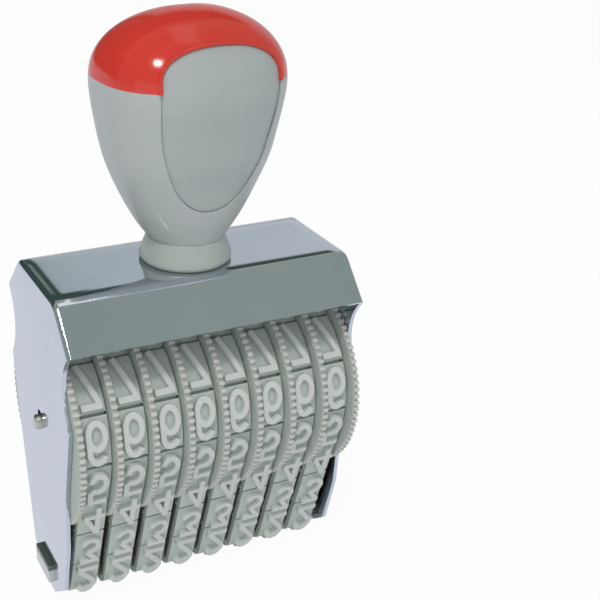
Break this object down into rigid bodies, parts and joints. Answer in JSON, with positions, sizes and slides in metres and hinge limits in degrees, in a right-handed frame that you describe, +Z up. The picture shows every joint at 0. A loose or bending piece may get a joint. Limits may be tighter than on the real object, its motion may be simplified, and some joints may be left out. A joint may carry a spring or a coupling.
{
  "type": "hand numbering stamp",
  "caption": "Hand numbering stamp: rubber number bands run over toothed setting wheels and round an anvil bar, in a bent chrome frame under a palm grip with a red cap.",
  "frame": {"origin": "centre of the printing face, at the middle of the frame's width and depth", "axes": "+X along the wheel axle to the right, +Z up from the printing face to the grip, -Y the front that the user faces"},
  "size_m": [0.0936, 0.0616, 0.1738],
  "materials": {
    "frame_plate": "bright plated sheet steel",
    "anvil": "dull, as drawn",
    "steel": "plain turned steel",
    "wheel": "moulded, light grey",
    "band": "matt, light grey",
    "collar": "satin, light grey",
    "grip": "satin, light grey",
    "panel": "satin, light grey, bare",
    "cap": "glossy red"
  },
  "bodies": {
    "stamp_body": {"frame": "frame_plate", "anvil_bar": "anvil", "axle": "steel", "handle_collar": "collar", "handle_body": "grip", "handle_cap": "cap", "front_panel": "panel", "rear_panel": "panel", "handle_bolt": "steel", "bolt_washer": "steel", "handle_nut": "steel", "number_band_1": "band", "number_band_2": "band", "number_band_3": "band", "number_band_4": "band", "number_band_5": "band", "number_band_6": "band", "number_band_7": "band", "number_band_8": "band"},
    "wheel_1": {"number_wheel_1": "wheel"},
    "wheel_2": {"number_wheel_2": "wheel"},
    "wheel_3": {"number_wheel_3": "wheel"},
    "wheel_4": {"number_wheel_4": "wheel"},
    "wheel_5": {"number_wheel_5": "wheel"},
    "wheel_6": {"number_wheel_6": "wheel"},
    "wheel_7": {"number_wheel_7": "wheel"},
    "wheel_8": {"number_wheel_8": "wheel", "end_flange": "wheel"}
  },
  "joints": [
    {"name": "wheel_1_spin", "type": "hinge", "parent": "stamp_body", "child": "wheel_1", "pos_m": [0, 0, 0.0585], "axis": [1, 0, 0], "continuous": true},
    {"name": "wheel_2_spin", "type": "hinge", "parent": "stamp_body", "child": "wheel_2", "pos_m": [0, 0, 0.0585], "axis": [1, 0, 0], "continuous": true},
    {"name": "wheel_3_spin", "type": "hinge", "parent": "stamp_body", "child": "wheel_3", "pos_m": [0, 0, 0.0585], "axis": [1, 0, 0], "continuous": true},
    {"name": "wheel_4_spin", "type": "hinge", "parent": "stamp_body", "child": "wheel_4", "pos_m": [0, 0, 0.0585], "axis": [1, 0, 0], "continuous": true},
    {"name": "wheel_5_spin", "type": "hinge", "parent": "stamp_body", "child": "wheel_5", "pos_m": [0, 0, 0.0585], "axis": [1, 0, 0], "continuous": true},
    {"name": "wheel_6_spin", "type": "hinge", "parent": "stamp_body", "child": "wheel_6", "pos_m": [0, 0, 0.0585], "axis": [1, 0, 0], "continuous": true},
    {"name": "wheel_7_spin", "type": "hinge", "parent": "stamp_body", "child": "wheel_7", "pos_m": [0, 0, 0.0585], "axis": [1, 0, 0], "continuous": true},
    {"name": "wheel_8_spin", "type": "hinge", "parent": "stamp_body", "child": "wheel_8", "pos_m": [0, 0, 0.0585], "axis": [1, 0, 0], "continuous": true}
  ]
}
